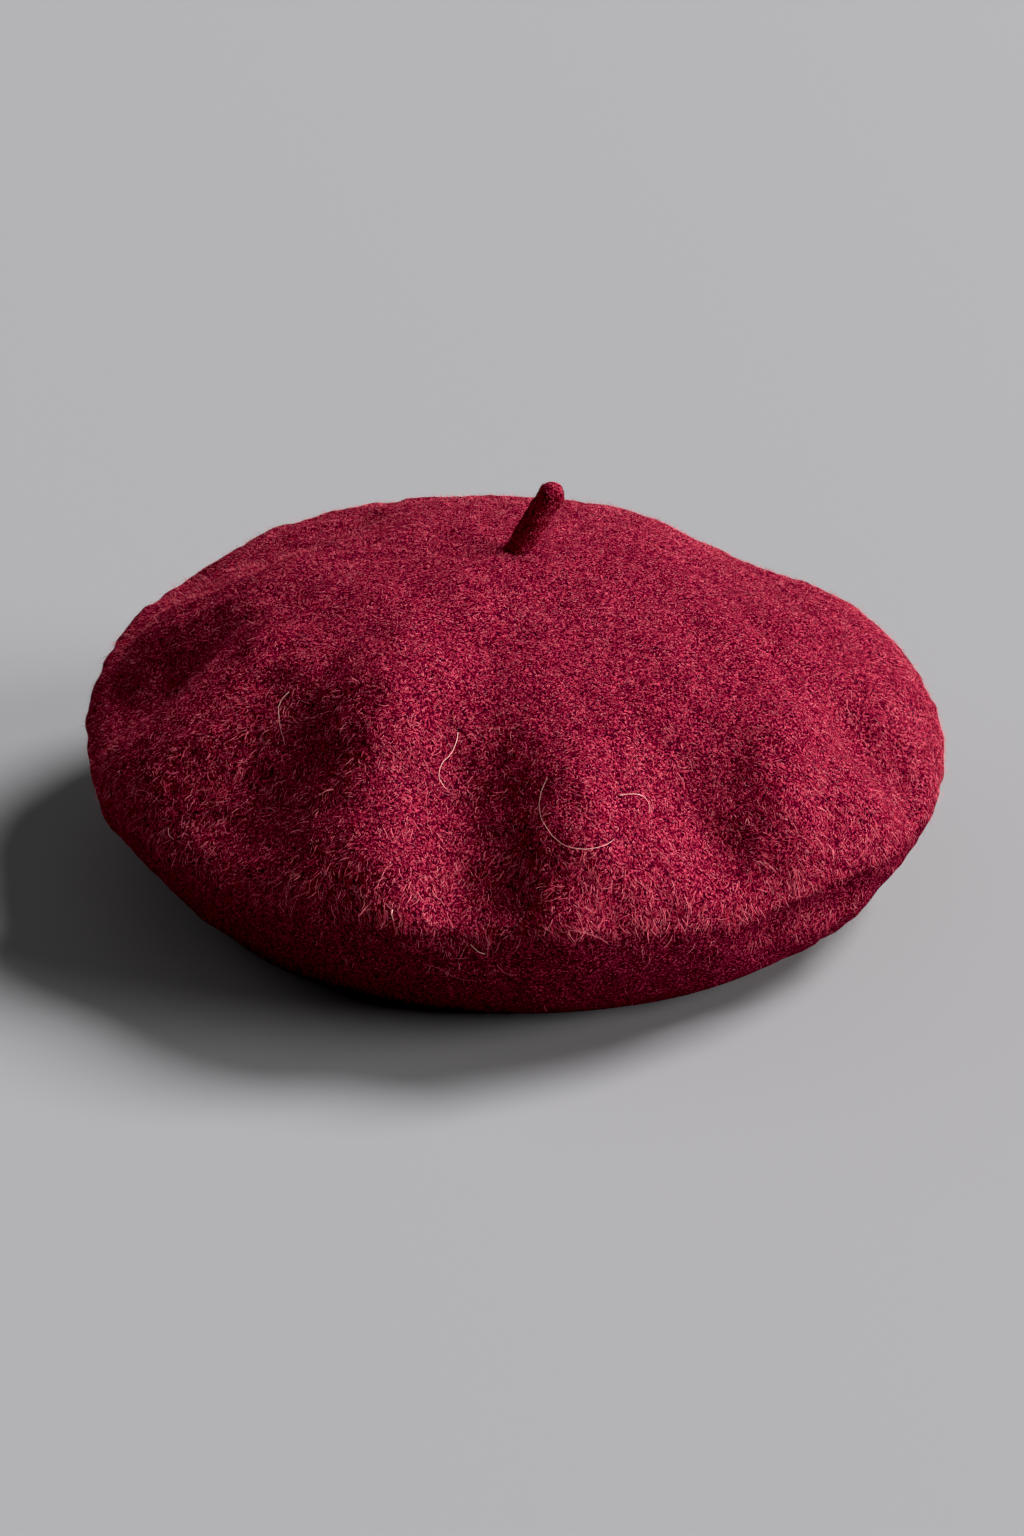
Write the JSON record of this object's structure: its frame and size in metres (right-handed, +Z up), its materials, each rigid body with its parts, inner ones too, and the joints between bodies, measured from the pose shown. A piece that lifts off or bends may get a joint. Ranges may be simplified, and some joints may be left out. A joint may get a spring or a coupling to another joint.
{
  "type": "basque beret",
  "caption": "Seamless felted-wool basque beret with a soft folded crown, a turned-under edge round an open headhole and a short stalk.",
  "frame": {"origin": "middle of the beret's box, on the surface that it rests on", "axes": "+Z up through the crown, +X to the right as seen from the front, front towards -Y"},
  "size_m": [0.277, 0.2816, 0.1294],
  "materials": {
    "shell_felt": "matte napped wool felt",
    "stalk_felt": "matte close wool felt"
  },
  "bodies": {
    "root": {"shell": "shell_felt", "stalk": "stalk_felt"}
  },
  "joints": []
}
